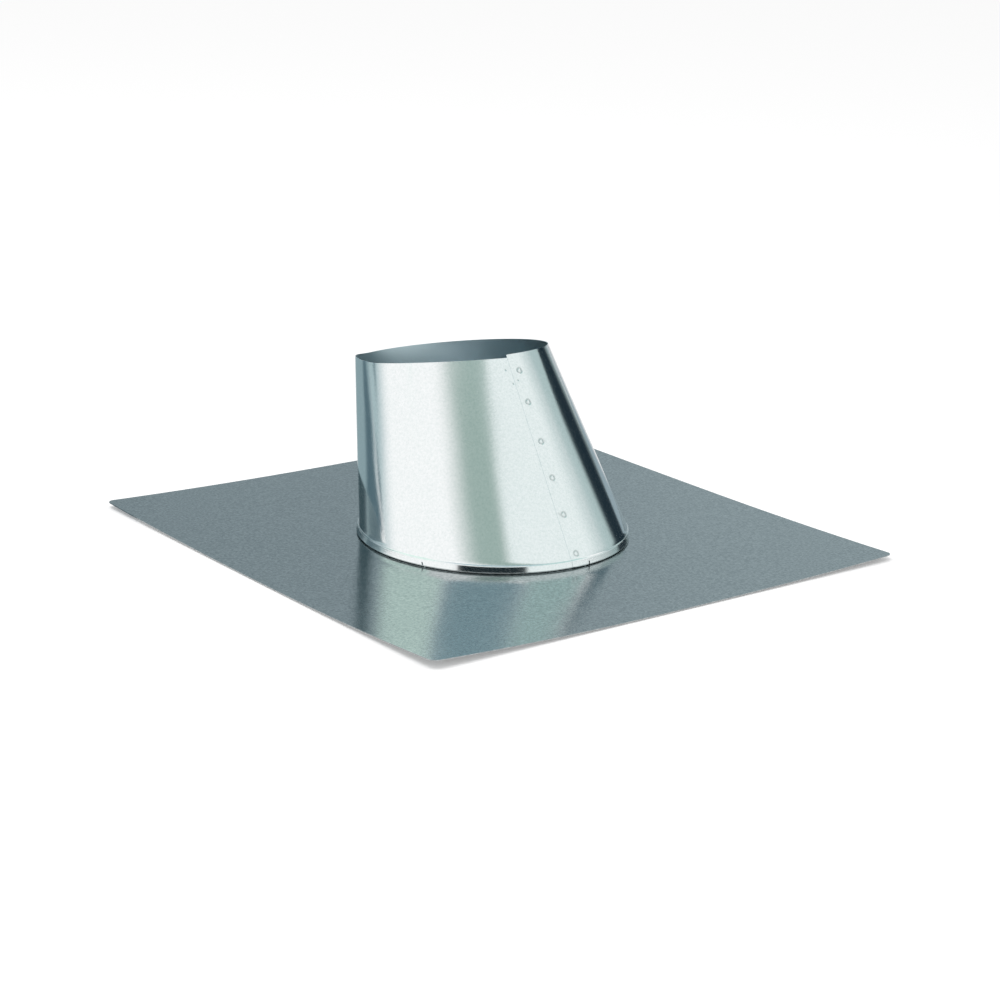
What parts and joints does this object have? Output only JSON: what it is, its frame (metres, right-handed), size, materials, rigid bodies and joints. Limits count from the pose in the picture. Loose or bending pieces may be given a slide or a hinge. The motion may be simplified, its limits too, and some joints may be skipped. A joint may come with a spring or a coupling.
{
  "type": "roof flashing",
  "caption": "Sheet metal roof flashing: a flat rectangular base plate with a leaning tapered round collar, lap seamed and spot welded, for a vent pipe.",
  "frame": {"origin": "centre of the foot circle of the collar, which is the centre of the base plate, on the plate's underside", "axes": "+Z square to the plate, out of the roof; +Y up the slope, the way the collar leans; +X across the slope"},
  "size_m": [0.367, 0.369, 0.1229],
  "materials": {
    "plate_sheet": "dull galvanised sheet with a fine grain",
    "collar_sheet": "bright galvanised sheet, smooth and shiny"
  },
  "bodies": {
    "root": {"base_plate": "plate_sheet", "cone_collar": "collar_sheet"}
  },
  "joints": []
}
